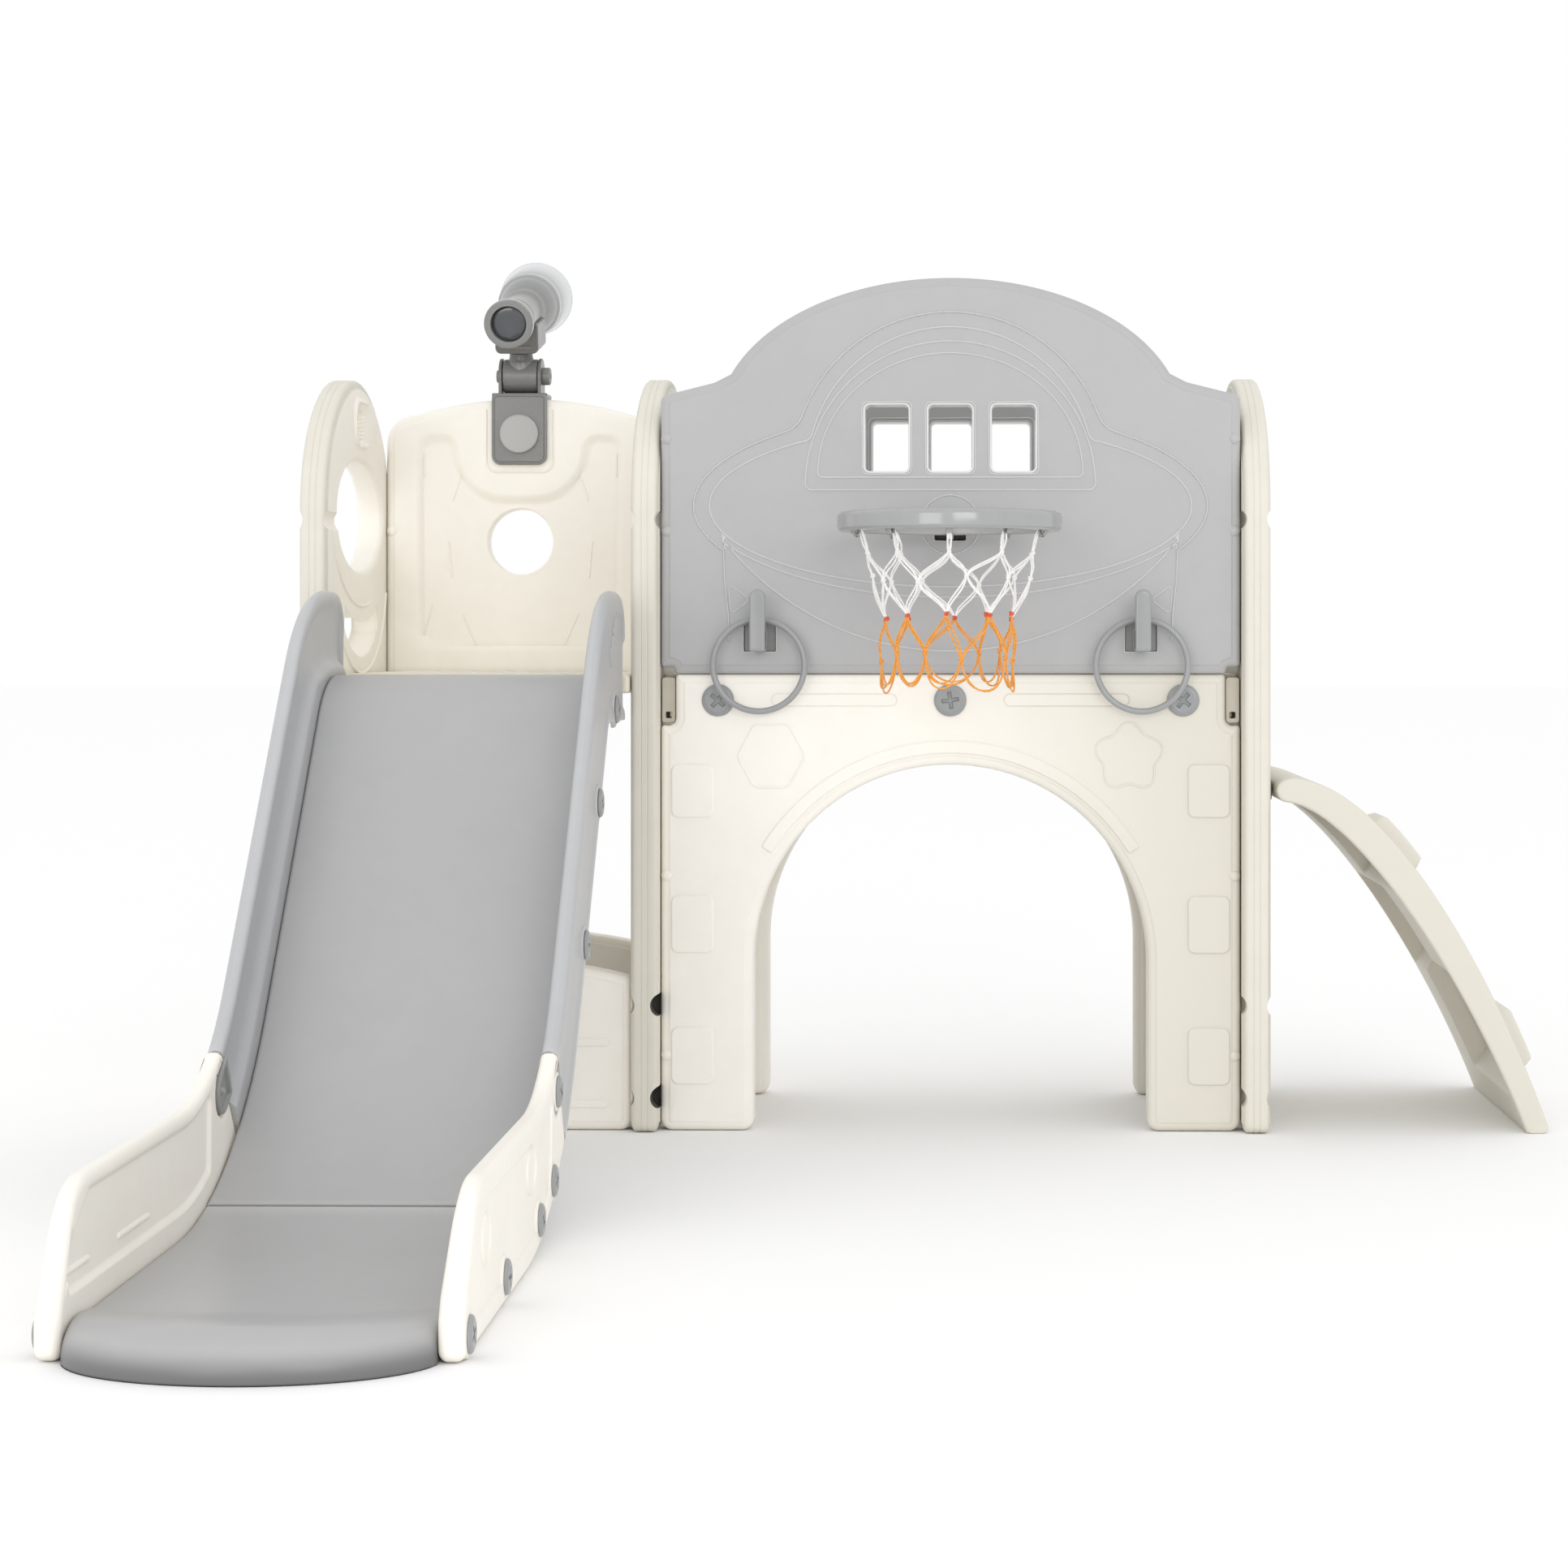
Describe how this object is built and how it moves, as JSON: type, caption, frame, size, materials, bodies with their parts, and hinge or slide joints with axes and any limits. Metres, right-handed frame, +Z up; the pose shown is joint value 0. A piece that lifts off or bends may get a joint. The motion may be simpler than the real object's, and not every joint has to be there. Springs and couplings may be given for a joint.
{
  "type": "plastic playhouse",
  "caption": "Toddler play gym: tower with slide and telescope, bridge over a crawl arch, ball hoop, toss rings and a curved climber.",
  "frame": {"origin": "centre of the footprint's bounding box, on the ground", "axes": "+Z up, +X along the front to the right with the tower and slide at -X, slide runs out towards -Y"},
  "size_m": [1.583, 1.9602, 1.1706],
  "materials": {
    "ivory_plastic": "fine blow-moulded satin",
    "light_gray_plastic": "fine blow-moulded satin",
    "dark_gray_plastic": "injection moulded, semi-gloss",
    "accessory_gray_plastic": "injection moulded, semi-gloss",
    "screw_gray_plastic": "injection moulded",
    "lens": "clear plastic lens",
    "net_cord": "braided cord, white above and orange below"
  },
  "bodies": {
    "playhouse": {"bracket_cap": "dark_gray_plastic", "bridge_deck": "ivory_plastic", "centre_side_panel": "ivory_plastic", "clevis_pin": "dark_gray_plastic", "climber_hook_plate": "dark_gray_plastic", "climber_ladder": "ivory_plastic", "front_arch_panel": "ivory_plastic", "front_arch_screw_left": "screw_gray_plastic", "front_arch_screw_middle": "screw_gray_plastic", "front_arch_screw_right": "screw_gray_plastic", "front_upper_panel": "light_gray_plastic", "hoop_bracket": "accessory_gray_plastic", "hoop_net": "net_cord", "hoop_ring": "accessory_gray_plastic", "left_side_panel": "ivory_plastic", "rear_arch_panel": "ivory_plastic", "rear_arch_screw_left": "screw_gray_plastic", "rear_arch_screw_middle": "screw_gray_plastic", "rear_arch_screw_right": "screw_gray_plastic", "rear_upper_panel": "light_gray_plastic", "right_side_panel": "ivory_plastic", "ring_hook_left": "accessory_gray_plastic", "ring_hook_right": "accessory_gray_plastic", "slide_lower_bed": "light_gray_plastic", "slide_rail_bolt_left_1": "screw_gray_plastic", "slide_rail_bolt_left_2": "screw_gray_plastic", "slide_rail_bolt_left_3": "screw_gray_plastic", "slide_rail_bolt_right_1": "screw_gray_plastic", "slide_rail_bolt_right_2": "screw_gray_plastic", "slide_rail_bolt_right_3": "screw_gray_plastic", "slide_rail_left": "light_gray_plastic", "slide_rail_right": "light_gray_plastic", "slide_upper_bed": "light_gray_plastic", "slide_wall_bolt_left_1": "screw_gray_plastic", "slide_wall_bolt_left_2": "screw_gray_plastic", "slide_wall_bolt_left_3": "screw_gray_plastic", "slide_wall_bolt_left_4": "screw_gray_plastic", "slide_wall_bolt_left_5": "screw_gray_plastic", "slide_wall_bolt_right_1": "screw_gray_plastic", "slide_wall_bolt_right_2": "screw_gray_plastic", "slide_wall_bolt_right_3": "screw_gray_plastic", "slide_wall_bolt_right_4": "screw_gray_plastic", "slide_wall_bolt_right_5": "screw_gray_plastic", "slide_wall_left": "ivory_plastic", "slide_wall_right": "ivory_plastic", "telescope_bracket": "dark_gray_plastic", "telescope_panel": "ivory_plastic", "tower_deck": "ivory_plastic", "tower_front_low_panel": "ivory_plastic", "tower_rear_low_panel": "ivory_plastic"},
    "swivel": {"swivel_base": "dark_gray_plastic"},
    "telescope": {"telescope_saddle": "dark_gray_plastic", "telescope_tube": "dark_gray_plastic", "eyepiece_lens": "lens", "objective_lens": "lens"},
    "left_ring": {"toss_ring_left": "accessory_gray_plastic"},
    "right_ring": {"toss_ring_right": "accessory_gray_plastic"}
  },
  "joints": [
    {"name": "telescope_tilt", "type": "hinge", "parent": "playhouse", "child": "swivel", "pos_m": [-0.568, 0.80989, 0.993], "axis": [1, 0, 0], "range_deg": [-25, 20]},
    {"name": "telescope_pan", "type": "hinge", "parent": "swivel", "child": "telescope", "pos_m": [-0.568, 0.80989, 0.993], "axis": [0, -0.225, 0.9744], "range_deg": [-75, 75]},
    {"name": "left_ring_swing", "type": "hinge", "parent": "playhouse", "child": "left_ring", "pos_m": [-0.2075, 0.38089, 0.635], "axis": [0, 1, 0], "range_deg": [-40, 40]},
    {"name": "right_ring_swing", "type": "hinge", "parent": "playhouse", "child": "right_ring", "pos_m": [0.2765, 0.38089, 0.635], "axis": [0, 1, 0], "range_deg": [-40, 40]}
  ]
}
